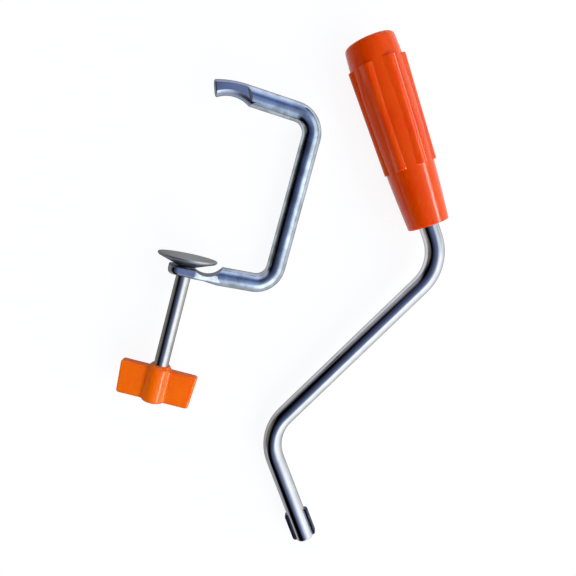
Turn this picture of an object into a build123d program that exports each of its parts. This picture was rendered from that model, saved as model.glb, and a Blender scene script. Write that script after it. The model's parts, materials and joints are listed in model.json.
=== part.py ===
from build123d import *
import os
from math import asin, cos, degrees, radians, sin, tan

# Hand crank and table clamp of a hand-turned kitchen machine, a set of two loose items.
# Each item is modelled in a frame of its own, in millimetres, and then laid flat on the table
# beside the other, resting where the real one rests. Table normal +Z.
#
# Clamp frame of reference: the screw runs along Y, the origin is on the screw's axis in the
# upper face of the threaded eye, the back bar stands at +X, Z is across the bent bar.
# Crank frame of reference: the grip turns about Y, the origin is in the middle of the grip's
# inner end, the crank's throw goes towards -X, Z is across the bent bar.

# ---------------------------------------------------------------- stock and fits
bar_diameter = 8.0            # bright round bar, both items
screw_diameter = 6.0          # M6 coarse thread, major diameter
turning_clearance = 0.05      # radial, every shaft that turns in a bore
axial_play = 0.1              # along every shaft that turns
plug_clearance = 0.03         # radial, plug in the grip

# ---------------------------------------------------------------- clamp frame
throat = 36.25                # screw axis to the back bar's axis
hook_arm_height = 72.3        # eye's upper face to the hook arm's axis
frame_bend_radius = 8.4       # on the bar's axis
lower_arm_slope = 3.5         # degrees, the lower arm falls towards the eye
lower_arm_drop = 1.28         # the lower arm's axis, carried on to the screw, below the eye's face

hook_overhang = 5.9           # hook tip beyond the screw axis
hook_curl_radius = 36.0       # the tip bends down towards the jaw
hook_curl_start = 6.0         # X where that bend begins
hook_notch_radius = 11.6      # notch under the tip
hook_notch_depth = 1.75
hook_notch_x = 2.3
hook_notch_crown = 3.3        # radius of the notch floor across the bar
hook_flat_thickness = 6.0     # tip pressed flat on both sides
hook_flat_x = 7.2             # end of the flats on the bar's axis
hook_flat_ramp = 0.9          # length of the ramp from flat to round
hook_flat_slant = 28.0        # degrees, slant of the ramp across the bar
hook_end_round = 0.6

eye_reach = 6.75              # eye's end beyond the screw axis
eye_width = 13.5
eye_corner_radius = 3.7
eye_flat_x = 7.2              # end of the eye's straight sides
eye_thickness = 3.4
eye_neck_x = 12.5             # centre of the neck's end, where the bar's width is reached
eye_dip_start = 3.9           # the forging dip between the eye and the round bar
eye_dip_x = 7.8
eye_dip_depth = 1.2
eye_dip_end = 14.7
eye_blend_x = 6.0             # the underside rises from the round bar to the flat eye
eye_edge_radius = 0.4         # upper edge
eye_under_radius = 1.3        # lower edge

# ---------------------------------------------------------------- pressure pad and spindle
pad_diameter = 24.2
pad_height = 4.3              # hub's underside to the rim's face
pad_sheet = 1.2               # sheet thickness
pad_rim_height = 1.3          # upright edge of the rim
pad_edge_radius = 0.4         # both edges of the rim's face
pad_hub_diameter = 6.6
pad_rest_gap = 0.15           # pad above the eye with the screw wound right back
pad_swivel = 2.8              # degrees, the loose pad leans on its neck as it lies
pad_neck_clearance = 0.2      # radial, wide enough for that lean

spindle_neck_diameter = 4.0   # turned neck on which the pad swivels
rivet_diameter = 6.0          # peened end inside the pad
rivet_height = 1.3
rivet_rim_height = 0.43       # upright edge of the peened end, below its dome
screw_reach = 38.5            # bare screw between the eye and the wing handle
spindle_grip_length = 12.5    # screw held inside the wing handle
spindle_flat_length = 9.0     # flattened stretch that keys it in the moulding
spindle_flat_width = 4.6
spindle_end_chamfer = 0.6

# ---------------------------------------------------------------- wing handle
wing_span = 32.0              # across the blades, upper edge
wing_taper = 3.7              # degrees, each blade's end leans in towards the lower edge
wing_height = 14.0
wing_thickness = 4.6
wing_corner_radius = 1.1
wing_edge_radius = 0.8
wing_root_radius = 2.4        # fillet between blade and hub
wing_hub_diameter = 9.8
wing_collar_height = 1.4      # hub above the blades
wing_collar_diameter = 7.6    # at the collar's narrow end
wing_hub_foot = 0.6           # hub below the blades
wing_turn = -11.0             # degrees about the screw, as it lies

# ---------------------------------------------------------------- crank rod
crank_throw = 93.5            # between the grip's axis and the drive end's axis
crank_bend_angle = 64.5       # degrees, turn of each bend
crank_bend_radius = 19.0      # on the bar's axis
crank_neck_length = 17.6      # grip's inner end to the first bend's corner
drive_length = 51.0           # second bend's corner to the drive end

drive_lug_length = 12.6
drive_lug_setback = 0.5       # bar's end beyond the lugs
drive_lug_span = 10.5         # across both lugs
drive_lug_width = 2.6
drive_lug_thickness = 3.0
drive_lug_edge_radius = 0.4
drive_end_radius = 0.8

axle_diameter = 6.0           # turned-down end inside the grip
axle_shoulder_depth = 10.0    # full bar inside the grip
axle_end_gap = 1.0            # axle's end to the grip plug
axle_end_chamfer = 0.8

# ---------------------------------------------------------------- grip
grip_length = 75.4
grip_inner_radius = 8.35      # inner end
grip_middle_radius = 10.15    # half way along the barrel
grip_barrel_radius = 10.55    # widest, near the outer end
grip_end_taper = 9.4          # widest place to the outer end, where the grip draws in again
grip_outer_radius = 9.9       # outer end, before its edge is rounded
grip_outer_round = 1.6
grip_inner_edge = 0.25

rib_count = 7
rib_inner_radius = 10.8       # rib crest at its inner end
rib_outer_radius = 11.7       # rib crest at its outer end
rib_length = 42.0             # from the widest place towards the inner end
rib_rise_angle = 20.0         # degrees round the grip, the gentle side of one rib
rib_fall_angle = 15.5         # degrees round the grip, its steep side
rib_lean_angle = 4.4          # degrees, its peak leans to the steep side
rib_foot_drop = 1.25          # crest to where both sides end, inside the barrel
rib_peak_rise = 0.87          # crest to the sharp peak, before it is rounded
rib_nose_radius = 2.4
rib_turn = -34.0              # degrees from the top, one crest as the grip lies

retainer_bore_diameter = 13.0
retainer_bore_depth = 10.0
washer_thickness = 1.0
washer_diameter = 12.2
ring_thickness = 0.7
ring_diameter = 11.0
ring_slot_count = 6
ring_slot_width = 0.9
ring_slot_reach = 1.4         # slot length outside the axle

plug_diameter = 15.0
plug_flange = 2.4
plug_spigot = 2.4
plug_spigot_wall_gap = 0.1
plug_dome_height = 0.5

# ---------------------------------------------------------------- how the items lie
clamp_turn = 15.33            # degrees, the back bar leans away from +Y
crank_turn = 19.9             # degrees, the grip's axis leans away from +Y
crank_offset = (98.55, 17.2)  # crank's origin from the clamp's origin, as laid down

# ---------------------------------------------------------------- values worked out
bar_radius = bar_diameter / 2
screw_radius = screw_diameter / 2
pad_radius = pad_diameter / 2
axle_radius = axle_diameter / 2
cut_reach = 3 * bar_diameter  # reaches right through any bar that is cut


def lower_arm_y(x):
    """Height of the lower arm's axis at a distance x from the screw."""
    return x * tan(radians(lower_arm_slope)) - lower_arm_drop


def polar_point(radius, angle):
    """Point of a cross-section at a radius and an angle in degrees."""
    return (radius * cos(radians(angle)), radius * sin(radians(angle)))


def dome_radius(rim_radius, height):
    """Radius of a low dome from its rim and its height."""
    return (rim_radius**2 + height**2) / (2 * height)


# ================================================================ clamp frame
hook_curl_angle = degrees(asin((hook_curl_start + hook_overhang) / hook_curl_radius))
hook_underside_y = hook_arm_height - bar_radius
notch_centre_y = hook_underside_y + hook_notch_depth - hook_notch_radius

# flattened eye with a rounded end, whose neck narrows to the bar
with BuildPart() as clamp_eye:
    with BuildSketch(Plane.XZ):
        with Locations(((eye_flat_x - eye_reach) / 2, 0)):
            RectangleRounded(eye_flat_x + eye_reach, eye_width, eye_corner_radius)
        with Locations((eye_neck_x, 0)):
            Circle(bar_radius)
        make_hull()
    extrude(amount=eye_thickness)
    fillet(clamp_eye.edges().group_by(Axis.Y)[-1], eye_edge_radius)
    fillet(clamp_eye.edges().group_by(Axis.Y)[0], eye_under_radius)

with BuildPart() as clamp_frame:
    # round bar: lower arm, back bar, hook arm and its curled tip
    with BuildLine() as frame_axis:
        arms = FilletPolyline(
            (0, lower_arm_y(0)),
            (throat, lower_arm_y(throat)),
            (throat, hook_arm_height),
            (hook_curl_start, hook_arm_height),
            radius=frame_bend_radius,
        )
        JernArc(arms @ 1, (-1, 0), hook_curl_radius, hook_curl_angle)
    with BuildSketch(Plane(origin=frame_axis.line @ 0, z_dir=frame_axis.line % 0)):
        Circle(bar_radius)
    sweep(path=frame_axis.line)

    # the curled tip is pressed flat on both sides, with a slanted ramp up to the round bar
    slant = radians(hook_flat_slant)
    flat_plane = Plane(
        origin=(hook_flat_x, hook_arm_height, 0),
        x_dir=(cos(slant), sin(slant), 0),
        z_dir=(-sin(slant), cos(slant), 0),
    )
    ramp_rise = bar_radius - hook_flat_thickness / 2
    with BuildSketch(flat_plane):
        for side in (1, -1):
            with BuildLine():
                Polyline(
                    (-cut_reach, -side * hook_flat_thickness / 2),
                    (0, -side * hook_flat_thickness / 2),
                    (2 * hook_flat_ramp, -side * (bar_radius + ramp_rise)),
                    (-cut_reach, -side * (bar_radius + ramp_rise)),
                    close=True,
                )
            make_face()
    extrude(amount=cut_reach, both=True, mode=Mode.SUBTRACT)

    # notch under the tip, its floor crowned like the bar: a wheel with a hollow rim
    notch_plane = Plane(origin=(hook_notch_x, notch_centre_y, 0), x_dir=(0, 1, 0), z_dir=(1, 0, 0))
    crown_rise = hook_notch_radius + hook_notch_crown
    with BuildSketch(notch_plane):
        with BuildLine():
            Polyline(
                (crown_rise, -hook_notch_crown),
                (0, -hook_notch_crown),
                (0, hook_notch_crown),
                (crown_rise, hook_notch_crown),
            )
            ThreePointArc(
                (crown_rise, -hook_notch_crown),
                (hook_notch_radius, 0),
                (crown_rise, hook_notch_crown),
            )
        make_face()
    revolve(axis=Axis((hook_notch_x, notch_centre_y, 0), (0, 0, 1)), mode=Mode.SUBTRACT)
    fillet(clamp_frame.faces().sort_by(Axis.X)[0].edges(), hook_end_round)

    # lower end: the flattened eye and its neck
    add(clamp_eye.part)

    # what the upper forging die presses away: the eye's face and the dip in front of the bar
    with BuildSketch(Plane.XY):
        with BuildLine():
            face_line = Line((-cut_reach, 0), (eye_dip_start, 0))
            dip_end = (eye_dip_end, lower_arm_y(eye_dip_end) + bar_radius)
            dip = ThreePointArc(face_line @ 1, (eye_dip_x, -eye_dip_depth), dip_end)
            Polyline(dip @ 1, (eye_dip_end, cut_reach), (-cut_reach, cut_reach), face_line @ 0)
        make_face()
    extrude(amount=cut_reach, both=True, mode=Mode.SUBTRACT)

    # what the lower die presses away: the underside rises from the bar to the flat eye
    with BuildSketch(Plane.XY):
        with BuildLine():
            Polyline(
                (-cut_reach, -eye_thickness),
                (eye_blend_x, -eye_thickness),
                (eye_dip_end, lower_arm_y(eye_dip_end) - bar_radius),
                (eye_dip_end, -cut_reach),
                (-cut_reach, -cut_reach),
                close=True,
            )
        make_face()
    extrude(amount=cut_reach, both=True, mode=Mode.SUBTRACT)

    # the bore, drilled from the eye's upper face
    with Locations(Plane.ZX):
        Hole(screw_radius + turning_clearance, depth=2 * eye_thickness)

# ================================================================ pressure pad
# a pressed dish: flat hub round the screw's neck, conical wall, upright rim
pad_hub_radius = pad_hub_diameter / 2
swivel_lift = pad_hub_radius * sin(radians(pad_swivel))
hub_floor_y = pad_rest_gap + swivel_lift
pad_face_y = hub_floor_y + pad_height
pad_wall_y = pad_face_y - pad_rim_height
neck_radius = spindle_neck_diameter / 2
pad_bore_radius = neck_radius + pad_neck_clearance

with BuildPart() as pressure_pad:
    with BuildSketch(Plane.XY):
        with BuildLine():
            Polyline(
                (pad_bore_radius, hub_floor_y),
                (pad_hub_radius, hub_floor_y),
                (pad_radius - pad_sheet / 2, pad_wall_y),
                (pad_radius, pad_wall_y + pad_sheet / 2),
                (pad_radius, pad_face_y),
                (pad_radius - pad_sheet, pad_face_y),
                (pad_hub_radius, hub_floor_y + pad_sheet),
                (pad_bore_radius, hub_floor_y + pad_sheet),
                close=True,
            )
        make_face()
    revolve(axis=Axis.Y)
    rim_edges = pressure_pad.edges().filter_by(GeomType.CIRCLE).group_by(Axis.Y)[-1]
    fillet(rim_edges, pad_edge_radius)

# ================================================================ clamp spindle
handle_top_y = -eye_thickness - screw_reach
spindle_end_y = handle_top_y - spindle_grip_length
shoulder_y = hub_floor_y - swivel_lift - axial_play / 2
rivet_floor_y = hub_floor_y + pad_sheet + swivel_lift + axial_play / 2
rivet_radius = rivet_diameter / 2

with BuildPart() as clamp_spindle:
    with BuildSketch(Plane.XY):
        with BuildLine():
            Polyline(
                (0, rivet_floor_y + rivet_height),
                (0, spindle_end_y),
                (screw_radius - spindle_end_chamfer, spindle_end_y),
                (screw_radius, spindle_end_y + spindle_end_chamfer),
                (screw_radius, shoulder_y),
                (neck_radius, shoulder_y),
                (neck_radius, rivet_floor_y),
                (rivet_radius, rivet_floor_y),
                (rivet_radius, rivet_floor_y + rivet_rim_height),
            )
            RadiusArc(
                (rivet_radius, rivet_floor_y + rivet_rim_height),
                (0, rivet_floor_y + rivet_height),
                -dome_radius(rivet_radius, rivet_height - rivet_rim_height),
            )
        make_face()
    revolve(axis=Axis.Y)
    # two flats key the end in the wing handle
    with BuildSketch(Plane.ZX.offset(spindle_end_y)):
        for side in (1, -1):
            with Locations((side * spindle_flat_width, 0)):
                Rectangle(spindle_flat_width, 2 * screw_diameter)
    extrude(amount=spindle_flat_length, mode=Mode.SUBTRACT)

# ================================================================ wing handle
blade_top_y = handle_top_y - wing_collar_height
blade_foot_y = blade_top_y - wing_height
hub_foot_y = blade_foot_y - wing_hub_foot
wing_hub_radius = wing_hub_diameter / 2
foot_span = wing_span - 2 * wing_height * tan(radians(wing_taper))

with BuildPart() as wing_handle:
    # both blades and the hub, seen along the screw
    with BuildSketch(Plane.XZ.offset(-blade_top_y)) as wing_plan:
        Rectangle(wing_span, wing_thickness)
        Circle(wing_hub_radius)
        roots = [v for v in wing_plan.vertices() if abs(v.X) < wing_hub_radius]
        fillet(roots, wing_root_radius)
    extrude(amount=wing_height)
    # the blades' outline from the front, with rounded corners
    with BuildSketch(Plane.XY) as wing_front:
        with BuildLine():
            Polyline(
                (-wing_span / 2, blade_top_y),
                (wing_span / 2, blade_top_y),
                (foot_span / 2, blade_foot_y),
                (-foot_span / 2, blade_foot_y),
                close=True,
            )
        make_face()
        fillet(wing_front.vertices(), wing_corner_radius)
    extrude(amount=wing_hub_diameter, both=True, mode=Mode.INTERSECT)
    blade_faces = wing_handle.faces().filter_by(Axis.Z)
    blade_rim = [
        e for e in blade_faces.edges() if abs(e.center().X) > wing_hub_radius + wing_root_radius
    ]
    fillet(blade_rim, wing_edge_radius)
    # the hub, with a conical collar above the blades and a rounded foot below them
    with BuildSketch(Plane.XY) as hub_half:
        with BuildLine():
            Polyline(
                (0, handle_top_y),
                (wing_collar_diameter / 2, handle_top_y),
                (wing_hub_radius, blade_top_y),
                (wing_hub_radius, hub_foot_y),
                (0, hub_foot_y),
                close=True,
            )
        make_face()
        fillet(hub_half.vertices().group_by(Axis.Y)[0].sort_by(Axis.X)[-1], wing_corner_radius)
    revolve(axis=Axis.Y)
    # moulded round the spindle's keyed end
    add(clamp_spindle.part, mode=Mode.SUBTRACT)

# ================================================================ crank rod
crank_run = crank_throw / tan(radians(crank_bend_angle))
first_corner_y = -crank_neck_length
second_corner_y = first_corner_y - crank_run
drive_end_y = second_corner_y - drive_length
plug_seat_y = grip_length - plug_flange
axle_end_y = plug_seat_y - plug_spigot - axle_end_gap
lug_centre_y = drive_end_y + drive_lug_setback + drive_lug_length / 2

with BuildPart() as crank_rod:
    with BuildLine() as rod_axis:
        FilletPolyline(
            (0, axle_shoulder_depth),
            (0, first_corner_y),
            (-crank_throw, second_corner_y),
            (-crank_throw, drive_end_y),
            radius=crank_bend_radius,
        )
    with BuildSketch(Plane(origin=rod_axis.line @ 0, z_dir=rod_axis.line % 0)):
        Circle(bar_radius)
    sweep(path=rod_axis.line)
    fillet(crank_rod.faces().sort_by(Axis.Y)[0].edges(), drive_end_radius)
    # the axle on which the grip turns
    with BuildSketch(Plane.ZX.offset(axle_shoulder_depth)):
        Circle(axle_radius)
    extrude(amount=axle_end_y - axle_shoulder_depth)
    chamfer(crank_rod.faces().sort_by(Axis.Y)[-1].edges(), axle_end_chamfer)

# two lugs swaged out of the drive end, their ends rounded
with BuildPart() as drive_lugs:
    with BuildSketch(Plane.XY):
        for side in (1, -1):
            lug_x = -crank_throw + side * (drive_lug_span - drive_lug_width) / 2
            with Locations((lug_x, lug_centre_y)):
                SlotOverall(drive_lug_length, drive_lug_width, rotation=90)
    extrude(amount=drive_lug_thickness / 2, both=True)
    fillet(drive_lugs.faces().filter_by(Axis.Z).edges(), drive_lug_edge_radius)

with crank_rod:
    add(drive_lugs.part)

# ================================================================ grip
retainer_floor_y = grip_length - retainer_bore_depth
plug_radius = plug_diameter / 2
rib_pitch = 360 / rib_count
grip_barrel_length = grip_length - grip_end_taper
rib_outer_y = grip_barrel_length
rib_inner_y = rib_outer_y - rib_length
grip_turn_in_radius = (2 * grip_barrel_radius + grip_outer_radius) / 3

with BuildPart() as crank_grip:
    # barrel: one long bulging curve, a short curve in to the outer end
    with BuildSketch(Plane.XY) as barrel_half:
        with BuildLine():
            ThreePointArc(
                (grip_inner_radius, 0),
                (grip_middle_radius, grip_barrel_length / 2),
                (grip_barrel_radius, grip_barrel_length),
            )
            ThreePointArc(
                (grip_barrel_radius, grip_barrel_length),
                (grip_turn_in_radius, (grip_barrel_length + grip_length) / 2),
                (grip_outer_radius, grip_length),
            )
            Polyline((grip_outer_radius, grip_length), (0, grip_length), (0, 0), (grip_inner_radius, 0))
        make_face()
        outer_corner = barrel_half.vertices().group_by(Axis.Y)[-1].sort_by(Axis.X)[-1]
        fillet(outer_corner, grip_outer_round)
    revolve(axis=Axis.Y)
    chamfer(crank_grip.faces().sort_by(Axis.Y)[0].edges(), grip_inner_edge)

# one rib, its crest at the top: a gentle side, a rounded nose and a steep side
with BuildPart() as grip_rib:
    for rib_y, crest_radius in ((rib_inner_y, rib_inner_radius), (rib_outer_y, rib_outer_radius)):
        foot_radius = crest_radius - rib_foot_drop
        peak_radius = crest_radius + rib_peak_rise
        with BuildSketch(Plane.ZX.offset(rib_y)) as rib_section:
            with BuildLine():
                Polyline(
                    (0, 0),
                    polar_point(foot_radius, -rib_rise_angle),
                    polar_point(peak_radius, rib_lean_angle),
                    polar_point(foot_radius, rib_fall_angle),
                    close=True,
                )
            make_face()
            peak = rib_section.vertices().sort_by_distance((0, 0, 0))[-1]
            fillet(peak, rib_nose_radius)
    loft(ruled=True)

with crank_grip:
    for index in range(rib_count):
        add(grip_rib.part, rotation=(0, rib_turn + index * rib_pitch, 0))
    # axle bore, wider over the full bar at the inner end and over the retainer at the outer end
    with Locations(Plane.ZX.offset(grip_length)):
        CounterBoreHole(
            radius=axle_radius + turning_clearance,
            counter_bore_radius=retainer_bore_diameter / 2,
            counter_bore_depth=retainer_bore_depth,
        )
        Hole(plug_radius, depth=plug_flange)
    with Locations(Plane.XZ):
        Hole(bar_radius + turning_clearance, depth=axle_shoulder_depth + axial_play)

# ================================================================ grip washer, ring and plug
washer_y = retainer_floor_y + axial_play
with BuildPart() as grip_washer:
    with BuildSketch(Plane.ZX.offset(washer_y)):
        Circle(washer_diameter / 2)
        Circle(axle_radius + turning_clearance, mode=Mode.SUBTRACT)
    extrude(amount=washer_thickness)

with BuildPart() as grip_retaining_ring:
    with BuildSketch(Plane.ZX.offset(washer_y + washer_thickness)):
        Circle(ring_diameter / 2)
        Circle(axle_radius, mode=Mode.SUBTRACT)
        with PolarLocations(axle_radius, ring_slot_count):
            Rectangle(2 * ring_slot_reach, ring_slot_width, mode=Mode.SUBTRACT)
    extrude(amount=ring_thickness)

with BuildPart() as grip_end_plug:
    with BuildSketch(Plane.XY):
        spigot_radius = retainer_bore_diameter / 2 - plug_spigot_wall_gap
        flange_radius = plug_radius - plug_clearance
        with BuildLine():
            Polyline(
                (0, grip_length + plug_dome_height),
                (0, plug_seat_y - plug_spigot),
                (spigot_radius, plug_seat_y - plug_spigot),
                (spigot_radius, plug_seat_y),
                (flange_radius, plug_seat_y),
                (flange_radius, grip_length),
            )
            RadiusArc(
                (flange_radius, grip_length),
                (0, grip_length + plug_dome_height),
                -dome_radius(flange_radius, plug_dome_height),
            )
        make_face()
    revolve(axis=Axis.Y)

# ================================================================ laid flat on the table
# The clamp lies on its back bar and on the pad's rim.
clamp_tilt = degrees(asin((pad_radius - bar_radius) / throat))
clamp_pose = Pos(0, 0, pad_radius) * Rot(0, 0, -clamp_turn) * Rot(0, clamp_tilt, 0)
screw_pose = clamp_pose * Rot(0, wing_turn, 0)
pad_pivot = Pos(0, hub_floor_y + pad_sheet / 2, 0)
pad_pose = clamp_pose * pad_pivot * Rot(0, 0, pad_swivel) * pad_pivot.inverse()

# The crank lies on the drive end and on the grip's lowest rib.
axis_rise = (rib_outer_radius - rib_inner_radius) / rib_length
axis_height = rib_inner_radius - rib_inner_y * axis_rise
drive_height = axis_height + drive_end_y * axis_rise
crank_pitch = degrees(asin(axis_rise))
crank_roll = degrees(asin((drive_height - bar_radius) / crank_throw))
grip_pose = (
    Pos(crank_offset[0], crank_offset[1], axis_height)
    * Rot(0, 0, crank_turn)
    * Rot(crank_pitch, 0, 0)
)
crank_pose = grip_pose * Rot(0, -crank_roll, 0)

clamp_item = {
    "clamp_frame": clamp_frame.part.moved(clamp_pose),
    "pressure_pad": pressure_pad.part.moved(pad_pose),
    "clamp_spindle": clamp_spindle.part.moved(screw_pose),
    "wing_handle": wing_handle.part.moved(screw_pose),
}
crank_item = {
    "crank_rod": crank_rod.part.moved(crank_pose),
    "grip_washer": grip_washer.part.moved(crank_pose),
    "grip_retaining_ring": grip_retaining_ring.part.moved(crank_pose),
    "crank_grip": crank_grip.part.moved(grip_pose),
    "grip_end_plug": grip_end_plug.part.moved(grip_pose),
}

# each item touches the table, and the set is centred on the origin
clamp_box = Compound(list(clamp_item.values())).bounding_box()
crank_box = Compound(list(crank_item.values())).bounding_box()
middle_x = (min(clamp_box.min.X, crank_box.min.X) + max(clamp_box.max.X, crank_box.max.X)) / 2
middle_y = (min(clamp_box.min.Y, crank_box.min.Y) + max(clamp_box.max.Y, crank_box.max.Y)) / 2
clamp_shift = Pos(-middle_x, -middle_y, -clamp_box.min.Z)
crank_shift = Pos(-middle_x, -middle_y, -crank_box.min.Z)

os.makedirs("parts", exist_ok=True)
for item, shift in ((clamp_item, clamp_shift), (crank_item, crank_shift)):
    for name, piece in item.items():
        placed = piece.moved(shift)
        placed.label = name
        export_step(placed, f"parts/{name}.step")
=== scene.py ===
"""Hand crank and table clamp of a hand-turned kitchen machine, dressed round their CAD frame."""

import json
import logging
import math
from dataclasses import dataclass
from enum import Enum
from typing import Protocol

import bpy
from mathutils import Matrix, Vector

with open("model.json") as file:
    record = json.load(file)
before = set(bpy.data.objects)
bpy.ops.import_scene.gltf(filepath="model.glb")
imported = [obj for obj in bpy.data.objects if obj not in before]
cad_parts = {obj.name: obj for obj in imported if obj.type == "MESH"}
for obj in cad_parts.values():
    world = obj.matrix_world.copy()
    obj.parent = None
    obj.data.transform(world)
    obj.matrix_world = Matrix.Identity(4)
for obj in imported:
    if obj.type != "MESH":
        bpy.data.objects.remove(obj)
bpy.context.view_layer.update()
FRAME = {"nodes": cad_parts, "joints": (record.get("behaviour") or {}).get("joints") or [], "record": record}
MM = 0.001
PLASTIC_PIECES = ("wing_handle", "crank_grip", "grip_end_plug")

log = logging.getLogger("crank_and_clamp")

Colour = tuple[float, float, float]
Place = tuple[float, float, float]
Tree = bpy.types.NodeTree
Node = bpy.types.Node
Socket = bpy.types.NodeSocket
Source = Socket | float | Vector | Colour


class Finish(Enum):
    """Grades of the plated steel pieces, each with its roughness."""

    BRIGHT = 0.07
    SMOOTH = 0.14
    SATIN = 0.30
    DULL = 0.46


class Effect(Enum):
    """Shader node groups that more than one material places."""

    HAIRLINES = "hairline_scratches"
    SMUDGES = "handling_smudges"
    EDGES = "rounded_edges"


# ------------------------------------------------------------------ node helpers
def add_node(tree: Tree, kind: str, **settings: object) -> Node:
    """Adds a shader node.

    Args:
        tree: the tree that gets the node.
        kind: the node's type name without its ShaderNode prefix.
        **settings: properties set on the node.

    Returns:
        The new node.
    """
    node = tree.nodes.new("ShaderNode" + kind)
    for name, value in settings.items():
        setattr(node, name, value)
    return node


def feed(tree: Tree, socket: Socket, source: Source) -> None:
    """Links a socket, or sets its value.

    Args:
        tree: the tree that holds the socket.
        socket: the input to feed.
        source: an output to link, or a plain value.
    """
    if isinstance(source, bpy.types.NodeSocket):
        tree.links.new(source, socket)
    else:
        socket.default_value = source


def maths(tree: Tree, operation: str, *sources: Source) -> Socket:
    """Adds a Math node and returns its output.

    Args:
        tree: the tree that gets the node.
        operation: the Math node's operation.
        *sources: its inputs in order.

    Returns:
        The node's output.
    """
    node = add_node(tree, "Math", operation=operation)
    for socket, source in zip(node.inputs, sources):
        feed(tree, socket, source)
    return node.outputs[0]


def vector_maths(tree: Tree, operation: str, *sources: Source) -> Node:
    """Adds a Vector Math node.

    Args:
        tree: the tree that gets the node.
        operation: the node's operation.
        *sources: its inputs in order.

    Returns:
        The node, whose outputs are Vector and Value.
    """
    node = add_node(tree, "VectorMath", operation=operation)
    for socket, source in zip(node.inputs, sources):
        feed(tree, socket, source)
    return node


def smooth_step(tree: Tree, source: Socket, low: float, high: float) -> Socket:
    """Turns a value into a mask with soft ends.

    Args:
        tree: the tree that gets the node.
        source: the value to read.
        low: where the mask is 0.
        high: where the mask is 1.

    Returns:
        The mask.
    """
    node = add_node(tree, "MapRange", interpolation_type="SMOOTHSTEP")
    feed(tree, node.inputs["Value"], source)
    node.inputs["From Min"].default_value = low
    node.inputs["From Max"].default_value = high
    return node.outputs["Result"]


def spread(tree: Tree, mask: Socket, low: float, high: float) -> Socket:
    """Spreads a mask of 0 to 1 over a range of values.

    Args:
        tree: the tree that gets the node.
        mask: the mask to read.
        low: the value where the mask is 0.
        high: the value where the mask is 1.

    Returns:
        The value.
    """
    node = add_node(tree, "MapRange")
    feed(tree, node.inputs["Value"], mask)
    node.inputs["To Min"].default_value = low
    node.inputs["To Max"].default_value = high
    return node.outputs["Result"]


def mixed(tree: Tree, mask: Socket, first: Source, second: Source) -> Socket:
    """Mixes two colours by a mask.

    Args:
        tree: the tree that gets the node.
        mask: 0 for the first colour and 1 for the second.
        first: the first colour.
        second: the second colour.

    Returns:
        The mixed colour.
    """
    node = add_node(tree, "Mix", data_type="RGBA")
    feed(tree, node.inputs["Factor"], mask)
    for socket, source in ((node.inputs["A"], first), (node.inputs["B"], second)):
        feed(tree, socket, (*source, 1.0) if isinstance(source, tuple) else source)
    return node.outputs["Result"]


def direction(azimuth: float, elevation: float) -> Vector:
    """Works out a direction in the room.

    Args:
        azimuth: degrees from +X towards +Y.
        elevation: degrees above the table.

    Returns:
        The direction, one metre long.
    """
    turn, rise = math.radians(azimuth), math.radians(elevation)
    level = math.cos(rise)
    return Vector((math.cos(turn) * level, math.sin(turn) * level, math.sin(rise)))


# ------------------------------------------------------------------ shared effects
def new_group(
    effect: Effect,
    inputs: dict[str, float],
    outputs: dict[str, str],
) -> tuple[Tree, Node, Node]:
    """Starts a shader node group.

    Args:
        effect: the group's name among the effects.
        inputs: names and default values of its float inputs.
        outputs: names and socket types of its outputs.

    Returns:
        The group's tree, its input node and its output node.
    """
    tree = bpy.data.node_groups.new(effect.value, "ShaderNodeTree")
    for name, value in inputs.items():
        socket = tree.interface.new_socket(name, in_out="INPUT", socket_type="NodeSocketFloat")
        socket.default_value = value
    for name, kind in outputs.items():
        tree.interface.new_socket(name, in_out="OUTPUT", socket_type=kind)
    return tree, tree.nodes.new("NodeGroupInput"), tree.nodes.new("NodeGroupOutput")


def build_hairlines() -> Tree:
    """Makes the group of fine hairline scratches that cross in two directions.

    Returns:
        The group's tree.
    """
    lays = ((0.3, 0.9, 0.4), (1.2, -0.5, 2.0))
    stretch = (1.0, 0.04, 1.0)
    line_width = 0.018
    tree, given, result = new_group(
        Effect.HAIRLINES,
        {"Scale": 900.0, "Cover": 0.5},
        {"Mask": "NodeSocketFloat"},
    )
    place = add_node(tree, "TexCoord").outputs["Object"]
    masks = []
    for turn in lays:
        mapping = add_node(tree, "Mapping")
        feed(tree, mapping.inputs["Vector"], place)
        mapping.inputs["Rotation"].default_value = turn
        mapping.inputs["Scale"].default_value = stretch
        noise = add_node(tree, "TexNoise")
        feed(tree, noise.inputs["Vector"], mapping.outputs["Vector"])
        feed(tree, noise.inputs["Scale"], given.outputs["Scale"])
        noise.inputs["Detail"].default_value = 3.0
        ridge = maths(tree, "ABSOLUTE", maths(tree, "SUBTRACT", noise.outputs["Fac"], 0.5))
        masks.append(maths(tree, "SUBTRACT", 1.0, smooth_step(tree, ridge, 0.0, line_width)))
    both = maths(tree, "MAXIMUM", *masks)
    feed(tree, result.inputs["Mask"], maths(tree, "MULTIPLY", both, given.outputs["Cover"]))
    return tree


def build_smudges() -> Tree:
    """Makes the group of soft patches that handling leaves on a bright surface.

    Returns:
        The group's tree.
    """
    tree, given, result = new_group(
        Effect.SMUDGES,
        {"Scale": 90.0, "Fine Scale": 700.0},
        {"Mask": "NodeSocketFloat", "Fine": "NodeSocketFloat"},
    )
    place = add_node(tree, "TexCoord").outputs["Object"]
    for name, output, detail in (("Scale", "Mask", 4.0), ("Fine Scale", "Fine", 2.0)):
        noise = add_node(tree, "TexNoise")
        feed(tree, noise.inputs["Vector"], place)
        feed(tree, noise.inputs["Scale"], given.outputs[name])
        noise.inputs["Detail"].default_value = detail
        feed(tree, result.inputs[output], smooth_step(tree, noise.outputs["Fac"], 0.35, 0.65))
    return tree


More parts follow.
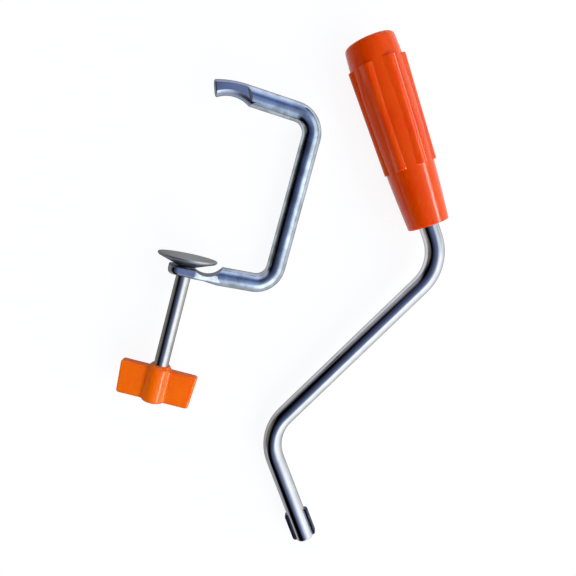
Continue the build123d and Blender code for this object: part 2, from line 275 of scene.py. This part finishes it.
def build_edges() -> Tree:
    """Makes the group that rounds sharp edges in the light and finds them for wear and for the painted
    highlight on plastic edges.

    Returns:
        The group's tree.
    """
    tree, given, result = new_group(
        Effect.EDGES,
        {"Radius": 0.0002},
        {"Normal": "NodeSocketVector", "Mask": "NodeSocketFloat"},
    )
    bevel = add_node(tree, "Bevel", samples=6)
    feed(tree, bevel.inputs["Radius"], given.outputs["Radius"])
    flat = add_node(tree, "NewGeometry").outputs["Normal"]
    agree = vector_maths(tree, "DOT_PRODUCT", bevel.outputs["Normal"], flat).outputs["Value"]
    turned = maths(tree, "SUBTRACT", 1.0, agree)
    feed(tree, result.inputs["Normal"], bevel.outputs["Normal"])
    feed(tree, result.inputs["Mask"], smooth_step(tree, turned, 0.01, 0.2))
    return tree


BUILDERS = {
    Effect.HAIRLINES: build_hairlines,
    Effect.SMUDGES: build_smudges,
    Effect.EDGES: build_edges,
}


def place_effect(tree: Tree, effect: Effect, **values: float) -> Node:
    """Places a shared effect in a material, building it the first time.

    Args:
        tree: the material's tree.
        effect: the effect to place.
        **values: its inputs, with underscores for spaces.

    Returns:
        The group node.
    """
    group = bpy.data.node_groups.get(effect.value) or BUILDERS[effect]()
    node = add_node(tree, "Group", node_tree=group)
    for name, value in values.items():
        node.inputs[name.replace("_", " ")].default_value = value
    return node


# ------------------------------------------------------------------ finishes
def blank_material(name: str) -> tuple[bpy.types.Material, Tree, Node]:
    """Makes a material with a bare Principled BSDF.

    Args:
        name: the material's name.

    Returns:
        The material, its tree and the shader.
    """
    material = bpy.data.materials.new(name)
    material.use_nodes = True
    tree = material.node_tree
    return material, tree, tree.nodes["Principled BSDF"]


class Patch(Protocol):
    """A part of a surface that is finished differently, found from its place."""

    def mask(self, tree: Tree) -> Socket:
        """Adds the nodes that find the patch.

        Args:
            tree: the material's tree.

        Returns:
            A mask, 1 on the patch.
        """


def round_axis(tree: Tree, origin: Vector, axis: Vector) -> tuple[Socket, Socket]:
    """Adds the nodes that place a surface round an axis.

    Args:
        tree: the material's tree.
        origin: a point on the axis.
        axis: its direction.

    Returns:
        The distance along the axis and the distance from it.
    """
    place = add_node(tree, "TexCoord").outputs["Object"]
    offset = vector_maths(tree, "SUBTRACT", place, origin).outputs["Vector"]
    along = vector_maths(tree, "DOT_PRODUCT", offset, axis).outputs["Value"]
    across = vector_maths(tree, "CROSS_PRODUCT", offset, axis).outputs["Vector"]
    return along, vector_maths(tree, "LENGTH", across).outputs["Value"]


@dataclass(frozen=True)
class CrestBand:
    """Where the grip's ribs stand above its barrel, rubbed duller by hands.

    Attributes:
        origin: a point on the grip's axis.
        axis: direction of the grip's axis.
        start: distance from the origin to the ribs' inner end.
        length: length of the ribs.
        inner_radius: half way up a rib at its inner end.
        outer_radius: half way up a rib at its outer end.
    """

    origin: Vector
    axis: Vector
    start: float
    length: float
    inner_radius: float
    outer_radius: float

    def mask(self, tree: Tree) -> Socket:
        """Finds the rib crests.

        Args:
            tree: the material's tree.

        Returns:
            A mask, 1 on the crests.
        """
        along, radius = round_axis(tree, self.origin, self.axis)
        slope = (self.outer_radius - self.inner_radius) / self.length
        step = maths(tree, "MULTIPLY", maths(tree, "SUBTRACT", along, self.start), slope)
        limit = maths(tree, "ADD", step, self.inner_radius)
        above = maths(tree, "SUBTRACT", radius, limit)
        return smooth_step(tree, above, -0.15 * MM, 0.25 * MM)


@dataclass(frozen=True)
class PressedLugs:
    """The two lugs pressed out of the crank's drive end, coloured near-black.

    Attributes:
        origin: the middle of the drive end's face.
        axis: direction out of the drive end.
        reach: how far the lugs reach back from the end.
        radius: the bar's radius.
    """

    origin: Vector
    axis: Vector
    reach: float
    radius: float

    def mask(self, tree: Tree) -> Socket:
        """Finds the lugs.

        Args:
            tree: the material's tree.

        Returns:
            A mask, 1 on the lugs.
        """
        along, radius = round_axis(tree, self.origin, self.axis)
        outside = smooth_step(tree, radius, self.radius + 0.05 * MM, self.radius + 0.2 * MM)
        near_end = smooth_step(tree, along, -self.reach - MM, -self.reach)
        return maths(tree, "MULTIPLY", outside, near_end)


@dataclass(frozen=True)
class ForgedEnds:
    """The bar's ends that were flattened hot, with a coarser skin.

    Attributes:
        middles: the middle of each flattened end.
        reach: how far each one reaches.
    """

    middles: tuple[Vector, ...]
    reach: float

    def mask(self, tree: Tree) -> Socket:
        """Finds the flattened ends.

        Args:
            tree: the material's tree.

        Returns:
            A mask, 1 on the flattened ends.
        """
        place = add_node(tree, "TexCoord").outputs["Object"]
        masks = []
        for middle in self.middles:
            away = vector_maths(tree, "DISTANCE", place, middle).outputs["Value"]
            masks.append(smooth_step(tree, away, self.reach + MM, self.reach - MM))
        return maths(tree, "MAXIMUM", *masks)


@dataclass(frozen=True)
class DishFace:
    """The hollow face of the pressure pad, left dull and grey.

    Attributes:
        axis: the direction that the face looks in.
    """

    axis: Vector

    def mask(self, tree: Tree) -> Socket:
        """Finds the hollow face.

        Args:
            tree: the material's tree.

        Returns:
            A mask, 1 on the hollow face.
        """
        facing = add_node(tree, "TexCoord").outputs["Normal"]
        agree = vector_maths(tree, "DOT_PRODUCT", facing, self.axis).outputs["Value"]
        return smooth_step(tree, agree, -0.1, 0.2)


def engrave(tree: Tree, shader: Node, depth: float, height: Socket, normal: Socket) -> None:
    """Sinks a fine pattern into a surface.

    Args:
        tree: the material's tree.
        shader: the shader whose surface gets the pattern.
        depth: the pattern's depth in metres.
        height: the pattern, 1 where it is deepest.
        normal: the surface's normal without the pattern.
    """
    bump = add_node(tree, "Bump", invert=True)
    bump.inputs["Distance"].default_value = depth
    feed(tree, bump.inputs["Height"], height)
    feed(tree, bump.inputs["Normal"], normal)
    feed(tree, shader.inputs["Normal"], bump.outputs["Normal"])


@dataclass(frozen=True)
class PlatedSteel:
    """Steel with a plated skin.

    Attributes:
        name: the material's name.
        tint: colour of the plate.
        worn_tint: colour where edges and scratches are rubbed.
        grade: how smooth the plate is.
        haze: roughness that smudges add.
        cloud: share of its light that the plate loses in cloudy blotches.
        edge_sheen: share of the light that the plate keeps at a glancing angle.
        cloud_scale: how small the cloudy blotches are.
        wear: share of the worn colour that shows where the plate is rubbed.
        scratch_depth: depth of the hairlines in metres.
        edge_radius: rounding of sharp edges in metres.
        patch: a part of the surface that is finished differently, or None.
        patch_tint: colour of the patch.
        patch_haze: roughness that the patch adds.
    """

    name: str
    tint: Colour
    worn_tint: Colour
    grade: Finish
    haze: float = 0.06
    cloud: float = 0.1
    edge_sheen: float = 0.42
    cloud_scale: float = 200.0
    wear: float = 0.5
    scratch_depth: float = 0.002 * MM
    edge_radius: float = 0.2 * MM
    patch: Patch | None = None
    patch_tint: Colour = (0.60, 0.61, 0.64)
    patch_haze: float = 0.0

    def make(self) -> bpy.types.Material:
        """Builds the material.

        Returns:
            The material.
        """
        material, tree, shader = blank_material(self.name)
        smudge = place_effect(tree, Effect.SMUDGES)
        blotch = place_effect(tree, Effect.SMUDGES, Scale=self.cloud_scale)
        hairline = place_effect(tree, Effect.HAIRLINES)
        edge = place_effect(tree, Effect.EDGES, Radius=self.edge_radius)
        dimmed = tuple(part * (1.0 - self.cloud) for part in self.tint)
        colour = mixed(tree, blotch.outputs["Mask"], self.tint, dimmed)
        rough = spread(tree, smudge.outputs["Mask"], self.grade.value, self.grade.value + self.haze)
        rub = maths(tree, "MULTIPLY", hairline.outputs["Mask"], self.haze)
        rough = maths(tree, "ADD", rough, rub)
        if self.patch:
            patch = self.patch.mask(tree)
            colour = mixed(tree, patch, colour, self.patch_tint)
            rough = maths(tree, "ADD", rough, maths(tree, "MULTIPLY", patch, self.patch_haze))
        worn = maths(tree, "MAXIMUM", hairline.outputs["Mask"], edge.outputs["Mask"])
        colour = mixed(tree, maths(tree, "MULTIPLY", worn, self.wear), colour, self.worn_tint)
        feed(tree, shader.inputs["Base Color"], colour)
        feed(tree, shader.inputs["Roughness"], rough)
        shader.inputs["Metallic"].default_value = 1.0
        shader.inputs["Specular Tint"].default_value = (self.edge_sheen,) * 3 + (1.0,)
        engrave(tree, shader, self.scratch_depth, hairline.outputs["Mask"], edge.outputs["Normal"])
        return material


@dataclass(frozen=True)
class MouldedPlastic:
    """Glossy moulded plastic with a faint flow pattern and a painted highlight on its thin edges.

    Attributes:
        name: the material's name.
        colour: the plastic's colour.
        flow_and_highlight_colour: colour of the flow pattern and of the painted highlight on thin edges.
        roughness: smoothness of the moulding.
        smudge_haze: roughness that smudges add.
        scratch_haze: roughness that hairlines add.
        satin: roughness that is added where the surface is rubbed.
        flow_share: strength of the flow pattern.
        edge_highlight_share: how much of the flow colour shows on thin edges as a painted highlight.
        glow: share of light that passes through the skin.
        glow_reach: how far red, green and blue light travel inside, as shares of the depth.
        glow_depth: how deep the light goes in metres.
        refraction: index of refraction, which sets how strong the shine is.
        skin_depth: depth of the moulded skin's grain in metres.
        edge_radius: rounding of sharp edges in metres.
        crests: where the surface is rubbed duller, or None.
    """

    name: str
    colour: Colour
    flow_and_highlight_colour: Colour
    roughness: float = 0.09
    smudge_haze: float = 0.04
    scratch_haze: float = 0.06
    satin: float = 0.06
    flow_share: float = 0.25
    edge_highlight_share: float = 0.35
    glow: float = 0.8
    glow_reach: Colour = (1.0, 0.25, 0.05)
    glow_depth: float = 5.0 * MM
    refraction: float = 1.42
    skin_depth: float = 0.004 * MM
    edge_radius: float = 0.3 * MM
    crests: Patch | None = None

    def make(self) -> bpy.types.Material:
        """Builds the material.

        Returns:
            The material.
        """
        material, tree, shader = blank_material(self.name)
        smudge = place_effect(tree, Effect.SMUDGES, Scale=60.0, Fine_Scale=1500.0)
        hairline = place_effect(tree, Effect.HAIRLINES, Scale=700.0, Cover=0.35)
        edge = place_effect(tree, Effect.EDGES, Radius=self.edge_radius)
        flow = maths(tree, "MULTIPLY", smudge.outputs["Mask"], self.flow_share)
        # Painted highlight: thin edges are lightened towards the flow colour in place of the glint on them
        # and the light shining through them.
        thin = maths(tree, "MULTIPLY", edge.outputs["Mask"], self.edge_highlight_share)
        light = maths(tree, "MAXIMUM", flow, thin)
        feed(tree, shader.inputs["Base Color"], mixed(tree, light, self.colour, self.flow_and_highlight_colour))
        smudged = self.roughness + self.smudge_haze
        rough = spread(tree, smudge.outputs["Mask"], self.roughness, smudged)
        rub = maths(tree, "MULTIPLY", hairline.outputs["Mask"], self.scratch_haze)
        rough = maths(tree, "ADD", rough, rub)
        if self.crests:
            dull = maths(tree, "MULTIPLY", self.crests.mask(tree), self.satin)
            rough = maths(tree, "ADD", rough, dull)
        feed(tree, shader.inputs["Roughness"], rough)
        shader.inputs["IOR"].default_value = self.refraction
        shader.inputs["Subsurface Weight"].default_value = self.glow
        shader.inputs["Subsurface Radius"].default_value = self.glow_reach
        shader.inputs["Subsurface Scale"].default_value = self.glow_depth
        skin = maths(tree, "MULTIPLY", smudge.outputs["Fine"], 0.4)
        grain = maths(tree, "ADD", skin, hairline.outputs["Mask"])
        engrave(tree, shader, self.skin_depth, grain, edge.outputs["Normal"])
        return material


def dress(node: str, material: bpy.types.Material) -> None:
    """Gives a CAD node its material.

    Args:
        node: the CAD node's name.
        material: the material it gets.
    """
    mesh = FRAME["nodes"][node].data
    mesh.materials.clear()
    mesh.materials.append(material)
    log.info("%s: %s", node, material.name)


def hide_from_reflections(node: str) -> None:
    """Leaves a CAD node out of what shiny pieces show.

    Args:
        node: the CAD node's name.
    """
    FRAME["nodes"][node].visible_glossy = False


def joint(name: str) -> dict:
    """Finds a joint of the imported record.

    Args:
        name: the joint's name.

    Returns:
        The joint's entry.
    """
    return next(j for j in FRAME["joints"] if j["name"] == name)


def mount(name: str) -> dict:
    """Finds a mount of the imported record.

    Args:
        name: the mount's name.

    Returns:
        The mount's entry.
    """
    return next(m for m in FRAME["record"]["mounts"] if m["name"] == name)


# ------------------------------------------------------------------ sub-assemblies
@dataclass
class TableClamp:
    """The bent-bar table clamp with its screw, pressure pad and wing handle.

    Attributes:
        bar_plate: colour of the round bar's plate.
        bar_forging: colour of the bar's two forged ends.
        bar_cloud: share of its light that the bar loses in cloudy blotches.
        bar_haze: roughness that smudges add to the bar.
        forging_haze: roughness that the forged ends add.
        forged_reach: how far each forged end reaches from its middle, in metres.
        screw_plate: colour of the screw.
        rubbed_plate: colour where edges and scratches are rubbed.
        pad_plate: colour of the pad's outside.
        pad_face: colour of the pad's hollow face.
        wing_colour: colour of the wing handle.
        wing_flow_and_highlight: colour of its flow pattern and of the painted highlight on its thin edges.
    """

    bar_plate: Colour = (0.71, 0.79, 0.90)
    bar_forging: Colour = (0.50, 0.56, 0.74)
    bar_cloud: float = 0.36
    bar_haze: float = 0.05
    forging_haze: float = 0.14
    forged_reach: float = 7.2 * MM
    screw_plate: Colour = (0.70, 0.69, 0.68)
    rubbed_plate: Colour = (0.70, 0.70, 0.71)
    pad_plate: Colour = (0.60, 0.61, 0.64)
    pad_face: Colour = (0.62, 0.62, 0.60)
    wing_colour: Colour = (0.82, 0.136, 0.0)
    wing_flow_and_highlight: Colour = (0.88, 0.26, 0.004)

    def build(self) -> None:
        """Dresses the clamp's pieces."""
        eye = Vector(joint("screw_turn")["pos_m"])
        notch = Vector(mount("hook_notch")["pos_m"])
        bar = PlatedSteel(
            "clamp_bar_plate",
            self.bar_plate,
            self.rubbed_plate,
            Finish.SMOOTH,
            haze=self.bar_haze,
            cloud=self.bar_cloud,
            patch=ForgedEnds((eye, notch), self.forged_reach),
            patch_tint=self.bar_forging,
            patch_haze=self.forging_haze,
        )
        screw = PlatedSteel("screw_plate", self.screw_plate, self.rubbed_plate, Finish.SMOOTH)
        pad = PlatedSteel(
            "pad_plate",
            self.pad_plate,
            self.rubbed_plate,
            Finish.SATIN,
            patch=DishFace(Vector(mount("pad_face")["axis"])),
            patch_tint=self.pad_face,
            patch_haze=Finish.DULL.value - Finish.SATIN.value,
        )
        wing = MouldedPlastic("wing_plastic", self.wing_colour, self.wing_flow_and_highlight)
        dress("clamp_frame", bar.make())
        dress("clamp_spindle", screw.make())
        dress("pressure_pad", pad.make())
        dress("wing_handle", wing.make())
        hide_from_reflections("wing_handle")


@dataclass
class HandCrank:
    """The bent-bar crank with its free-turning grip.

    Attributes:
        plate: colour of the bar's plate.
        rubbed_plate: colour where edges and scratches are rubbed.
        zinc: colour of the washer and the ring.
        lug_tint: colour of the drive lugs.
        lug_reach: how far the lugs reach back from the drive end, in metres.
        bar_radius: the bar's radius in metres.
        grip_colour: colour of the grip.
        grip_flow_and_highlight: colour of its flow pattern and of the painted highlight on its thin edges.
        rib_start: distance from the grip's joint to its ribs, in metres.
        rib_length: length of the ribs in metres.
        rib_inner_radius: half way up a rib at its inner end, in metres.
        rib_outer_radius: half way up a rib at its outer end, in metres.
    """

    plate: Colour = (0.68, 0.68, 0.72)
    rubbed_plate: Colour = (0.70, 0.70, 0.71)
    zinc: Colour = (0.55, 0.56, 0.58)
    lug_tint: Colour = (0.07, 0.07, 0.10)
    lug_reach: float = 13.3 * MM
    bar_radius: float = 4.0 * MM
    grip_colour: Colour = (0.70, 0.056, 0.0)
    grip_flow_and_highlight: Colour = (0.72, 0.12, 0.0)
    rib_start: float = 24.0 * MM
    rib_length: float = 42.0 * MM
    rib_inner_radius: float = 10.3 * MM
    rib_outer_radius: float = 11.1 * MM

    def build(self) -> None:
        """Dresses the crank's pieces."""
        spin = joint("grip_spin")
        crests = CrestBand(
            origin=Vector(spin["pos_m"]),
            axis=Vector(spin["axis"]).normalized(),
            start=self.rib_start,
            length=self.rib_length,
            inner_radius=self.rib_inner_radius,
            outer_radius=self.rib_outer_radius,
        )
        end = mount("drive_end_face")
        lugs = PressedLugs(
            origin=Vector(end["pos_m"]),
            axis=Vector(end["axis"]),
            reach=self.lug_reach,
            radius=self.bar_radius,
        )
        rod = PlatedSteel(
            "crank_bar_plate",
            self.plate,
            self.rubbed_plate,
            Finish.BRIGHT,
            patch=lugs,
            patch_tint=self.lug_tint,
        )
        zinc = PlatedSteel("zinc_plate", self.zinc, self.rubbed_plate, Finish.SATIN)
        grip = MouldedPlastic("grip_plastic", self.grip_colour, self.grip_flow_and_highlight, crests=crests)
        plug = MouldedPlastic("plug_plastic", self.grip_colour, self.grip_flow_and_highlight)
        dress("crank_rod", rod.make())
        zinc_plate = zinc.make()
        dress("grip_washer", zinc_plate)
        dress("grip_retaining_ring", zinc_plate)
        dress("crank_grip", grip.make())
        dress("grip_end_plug", plug.make())
        hide_from_reflections("crank_grip")


# ------------------------------------------------------------------ studio
@dataclass(frozen=True)
class Window:
    """One soft window of light, aimed at the middle of the set.

    Attributes:
        name: the lamp's name.
        azimuth: degrees from +X towards +Y.
        elevation: degrees above the table.
        width: metres, along the horizon.
        height: metres, up and down.
        radiance: brightness of its face.
        colour: colour of its light.
        distance: metres from the middle of the set.
        core: share of its width and height that is evenly bright.
        lit_nodes: the CAD nodes that it lights, or none for all.
        mirrored: whether shiny surfaces show it.
    """

    name: str
    azimuth: float
    elevation: float
    width: float
    height: float
    radiance: float
    colour: Colour = (1.0, 1.0, 1.0)
    distance: float = 0.8
    core: float = 0.2
    lit_nodes: tuple[str, ...] = ()
    mirrored: bool = True

    def add(self) -> None:
        """Adds the lamp to the scene."""
        lamp = bpy.data.lights.new(self.name, "AREA")
        lamp.shape = "RECTANGLE"
        lamp.size, lamp.size_y = self.width, self.height
        lamp.energy = self.radiance * math.pi * self.width * self.height
        lamp.color = self.colour
        self.soften(lamp)
        item = bpy.data.objects.new(self.name, lamp)
        away = direction(self.azimuth, self.elevation)
        item.location = away * self.distance
        item.rotation_mode = "QUATERNION"
        item.rotation_quaternion = away.to_track_quat("Z", "Y")
        bpy.context.scene.collection.objects.link(item)
        if self.lit_nodes:
            lit = bpy.data.collections.new(self.name + "_lights")
            for node in self.lit_nodes:
                lit.objects.link(FRAME["nodes"][node])
            item.light_linking.receiver_collection = lit
        item.visible_glossy = self.mirrored

    def soften(self, lamp: bpy.types.Light) -> None:
        """Fades the lamp's face towards its edges.

        Args:
            lamp: the lamp to change.
        """
        lamp.use_nodes = True
        tree = lamp.node_tree
        parts = add_node(tree, "SeparateXYZ")
        feed(tree, parts.inputs[0], add_node(tree, "NewGeometry").outputs["Parametric"])
        masks = []
        for place in parts.outputs[:2]:
            rim = maths(tree, "ABSOLUTE", maths(tree, "SUBTRACT", place, 0.5))
            masks.append(smooth_step(tree, rim, 0.5, 0.5 * self.core))
        feed(tree, tree.nodes["Emission"].inputs["Strength"], maths(tree, "MULTIPLY", *masks))


@dataclass(frozen=True)
class SoftPanel:
    """A round patch of light on the room's wall or ceiling, with a soft rim.

    Attributes:
        azimuth: degrees from +X towards +Y.
        elevation: degrees above the table.
        inner: degrees from its middle within which it is evenly bright.
        outer: degrees from its middle beyond which it gives no light.
        colour: its light.
    """

    azimuth: float
    elevation: float
    inner: float
    outer: float
    colour: Colour

    def light(self, tree: Tree, view: Socket) -> Socket:
        """Adds the patch's light for every direction.

        Args:
            tree: the world's tree.
            view: the direction that is looked along.

        Returns:
            The light as a vector of red, green and blue.
        """
        middle = direction(self.azimuth, self.elevation)
        near = vector_maths(tree, "DOT_PRODUCT", view, middle).outputs["Value"]
        rim, core = math.cos(math.radians(self.outer)), math.cos(math.radians(self.inner))
        scaled = add_node(tree, "VectorMath", operation="SCALE")
        scaled.inputs[0].default_value = self.colour
        feed(tree, scaled.inputs["Scale"], smooth_step(tree, near, rim, core))
        return scaled.outputs["Vector"]


@dataclass
class Studio:
    """The pale table, the room's light and the camera.

    Attributes:
        floor_half_width: half the table top's width in metres.
        floor_colour: colour of the table top.
        floor_roughness: roughness of the table top.
        floor_glow: light that the table top shows the camera and shiny pieces.
        floor_share: share of its colour that takes the set's shadow there.
        painted_shade_share: share of the glow that shiny pieces see to the left of the set, a painted shade
            in place of the set's shadow on the table.
        dark_edge: where along X the glow starts to rise, in metres.
        lit_edge: where along X the glow is full, in metres.
        camera_place: the camera's place in metres.
        camera_tilt: degrees that the camera leans from straight down.
        camera_lens: focal length in millimetres.
        camera_sensor: sensor width in millimetres.
        camera_near: nearest distance that the camera shows, in metres.
        windows: the lamps.
        panels: the patches of light that make up the room.
    """

    floor_half_width: float = 6.0
    floor_colour: Colour = (0.80, 0.80, 0.80)
    floor_roughness: float = 0.9
    floor_glow: float = 0.90
    floor_share: float = 0.36
    painted_shade_share: float = 0.2
    dark_edge: float = -0.08
    lit_edge: float = 0.05
    camera_place: Place = (0.00316, 0.03244, 0.236)
    camera_tilt: float = 6.5
    camera_lens: float = 34.5
    camera_sensor: float = 36.0
    camera_near: float = 5.0 * MM
    windows: tuple[Window, ...] = (
        Window("right_window", -13.0, 36.0, 1.40, 0.28, 14.5, lit_nodes=PLASTIC_PIECES),
        Window(
            "left_fill", 175.0, 40.0, 1.0, 1.0, 2.6, lit_nodes=PLASTIC_PIECES, mirrored=False
        ),
    )
    panels: tuple[SoftPanel, ...] = (
        SoftPanel(-26.0, 25.0, 0.0, 65.0, (0.02, 0.10, 0.38)),
        SoftPanel(-48.0, 0.0, 40.0, 60.0, (0.68, 0.73, 0.77)),
        SoftPanel(96.0, 0.0, 30.0, 60.0, (0.511, 0.494, 0.525)),
        SoftPanel(0.0, 70.0, 30.0, 60.0, (0.056, 0.073, 0.151)),
        SoftPanel(-168.0, 0.0, 0.0, 40.0, (0.226, 0.202, 0.151)),
        SoftPanel(-24.0, 12.0, 40.0, 60.0, (0.55, 0.47, 0.15)),
        SoftPanel(48.0, 0.0, 30.0, 60.0, (0.164, 0.252, 0.424)),
        SoftPanel(-40.0, 55.0, 20.0, 45.0, (0.094, 0.100, 0.100)),
        SoftPanel(-144.0, 0.0, 0.0, 18.0, (0.566, 0.542, 0.617)),
        SoftPanel(-65.0, 40.0, 10.0, 25.0, (0.131, 0.199, 0.258)),
        SoftPanel(0.0, 40.0, 0.0, 25.0, (0.223, 0.337, 0.376)),
        SoftPanel(144.0, 0.0, 0.0, 25.0, (0.093, 0.092, 0.077)),
    )

    def build(self) -> None:
        """Builds the studio."""
        self.add_floor()
        self.add_room()
        for window in self.windows:
            window.add()
        self.add_camera()

    def add_floor(self) -> None:
        """Lays the pale table top."""
        half = self.floor_half_width
        mesh = bpy.data.meshes.new("table_top")
        corners = [(-half, -half, 0), (half, -half, 0), (half, half, 0), (-half, half, 0)]
        mesh.from_pydata(corners, [], [(0, 1, 2, 3)])
        mesh.materials.append(self.floor_material())
        floor = bpy.data.objects.new("table_top", mesh)
        bpy.context.scene.collection.objects.link(floor)

    def floor_material(self) -> bpy.types.Material:
        """Builds the table top's material, which shows white and keeps the set's shadow.

        Returns:
            The material.
        """
        material, tree, shader = blank_material("pale_table")
        shader.inputs["Base Color"].default_value = (*self.floor_colour, 1.0)
        shader.inputs["Roughness"].default_value = self.floor_roughness
        shader.inputs["Specular IOR Level"].default_value = 0.0
        path = add_node(tree, "LightPath")
        shaded = add_node(tree, "BsdfDiffuse")
        shaded_colour = [part * self.floor_share for part in self.floor_colour]
        shaded.inputs["Color"].default_value = (*shaded_colour, 1.0)
        glow = add_node(tree, "Emission")
        feed(tree, glow.inputs["Strength"], self.floor_light(tree, path))
        seen = add_node(tree, "AddShader")
        feed(tree, seen.inputs[0], shaded.outputs[0])
        feed(tree, seen.inputs[1], glow.outputs[0])
        shown = path.outputs["Is Camera Ray"]
        for ray in ("Is Glossy Ray", "Is Transmission Ray"):
            shown = maths(tree, "MAXIMUM", shown, path.outputs[ray])
        choose = add_node(tree, "MixShader")
        feed(tree, choose.inputs[0], shown)
        feed(tree, choose.inputs[1], shader.outputs[0])
        feed(tree, choose.inputs[2], seen.outputs[0])
        feed(tree, tree.nodes["Material Output"].inputs["Surface"], choose.outputs[0])
        return material

    def floor_light(self, tree: Tree, path: Node) -> Socket:
        """Adds the table top's glow, which is dimmer to the left in shiny pieces as a painted shade in place
        of the set's shadow on the table.

        Args:
            tree: the material's tree.
            path: its Light Path node.

        Returns:
            The strength of the glow.
        """
        across = add_node(tree, "SeparateXYZ")
        feed(tree, across.inputs[0], add_node(tree, "TexCoord").outputs["Object"])
        # Painted shade: shiny pieces see the glow dimmer to the left, where the set's shadow falls on the
        # table.
        lit = smooth_step(tree, across.outputs["X"], self.dark_edge, self.lit_edge)
        toward_light = spread(tree, lit, self.painted_shade_share, 1.0)
        loss = maths(tree, "SUBTRACT", 1.0, toward_light)
        mirrored = maths(tree, "MULTIPLY", path.outputs["Is Glossy Ray"], loss)
        kept = maths(tree, "SUBTRACT", 1.0, mirrored)
        return maths(tree, "MULTIPLY", kept, self.floor_glow)

    def add_room(self) -> None:
        """Lights the room from its panels, and shows it white to the camera."""
        world = bpy.data.worlds.new("room")
        bpy.context.scene.world = world
        world.use_nodes = True
        tree = world.node_tree
        background = tree.nodes["Background"]
        view = add_node(tree, "TexCoord").outputs["Generated"]
        light = self.panels[0].light(tree, view)
        for panel in self.panels[1:]:
            light = vector_maths(tree, "ADD", light, panel.light(tree, view)).outputs["Vector"]
        path = add_node(tree, "LightPath")
        seen = mixed(tree, path.outputs["Is Camera Ray"], light, (1.0, 1.0, 1.0))
        feed(tree, background.inputs["Color"], seen)
        background.inputs["Strength"].default_value = 1.0

    def add_camera(self) -> None:
        """Adds the camera, which looks down on the set."""
        camera = bpy.data.cameras.new("camera")
        camera.lens = self.camera_lens
        camera.sensor_width = self.camera_sensor
        camera.clip_start = self.camera_near
        item = bpy.data.objects.new("camera", camera)
        item.location = self.camera_place
        item.rotation_euler = (-math.radians(self.camera_tilt), 0.0, 0.0)
        bpy.context.scene.collection.objects.link(item)
        bpy.context.scene.camera = item


def set_colour_management() -> None:
    """Shows colours as they are written."""
    bpy.context.scene.view_settings.view_transform = "Standard"


def main() -> None:
    """Dresses both items and builds the studio."""
    logging.basicConfig(level=logging.INFO, format="%(name)s %(message)s")
    set_colour_management()
    Studio().build()
    TableClamp().build()
    HandCrank().build()


if __name__ == "__main__":
    main()
